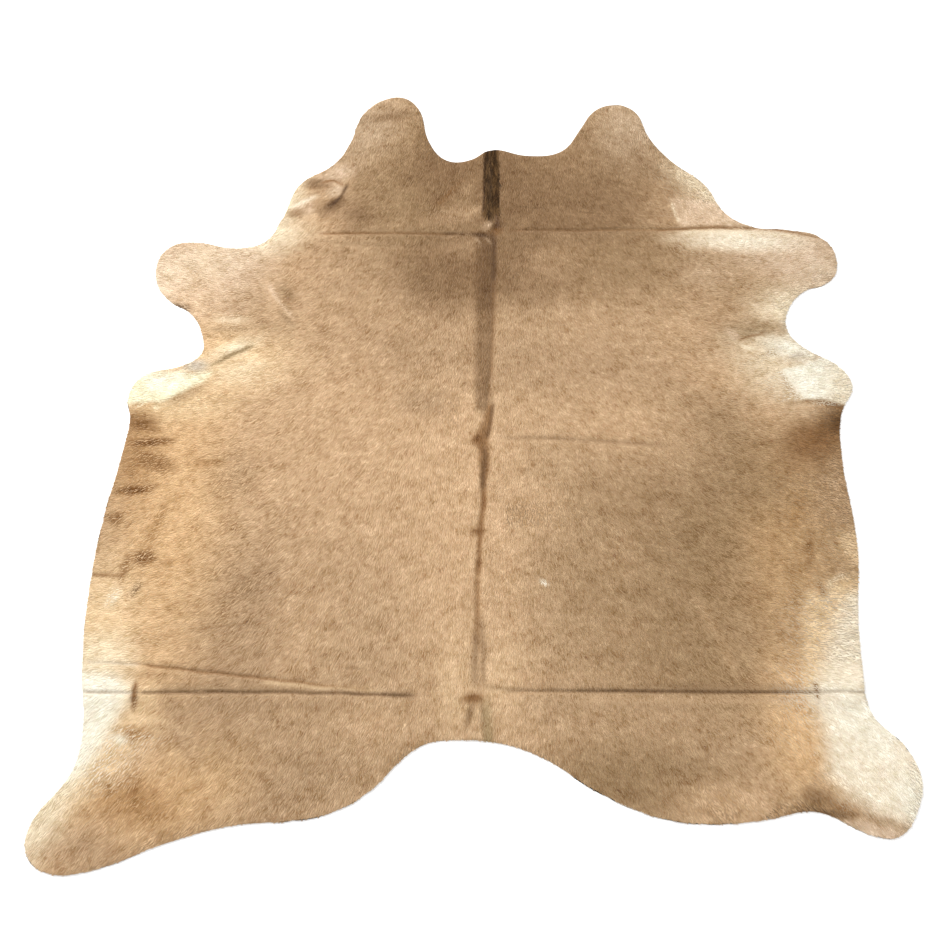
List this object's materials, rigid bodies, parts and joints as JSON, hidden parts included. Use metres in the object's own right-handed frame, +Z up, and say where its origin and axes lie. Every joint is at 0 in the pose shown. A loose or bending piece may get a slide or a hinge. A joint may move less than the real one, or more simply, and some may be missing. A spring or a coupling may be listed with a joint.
{
  "type": "hair-on cowhide rug",
  "caption": "Whole tanned cowhide with its short coat on, cut to the animal's outline and laid flat as a floor rug.",
  "frame": {"origin": "on the floor under the middle of the hide's box", "axes": "+Z up, away from the flesh side; +Y along the spine, towards the neck; +X towards the right side as seen from the tail"},
  "size_m": [2.0168, 2.204, 0.011],
  "materials": {
    "coat": "short beige cow hair lying flat, with cream belly patches and a dark line along the spine",
    "flesh_side": "undyed suede with a raw cut edge"
  },
  "bodies": {
    "root": {"hide": "coat"}
  },
  "joints": []
}
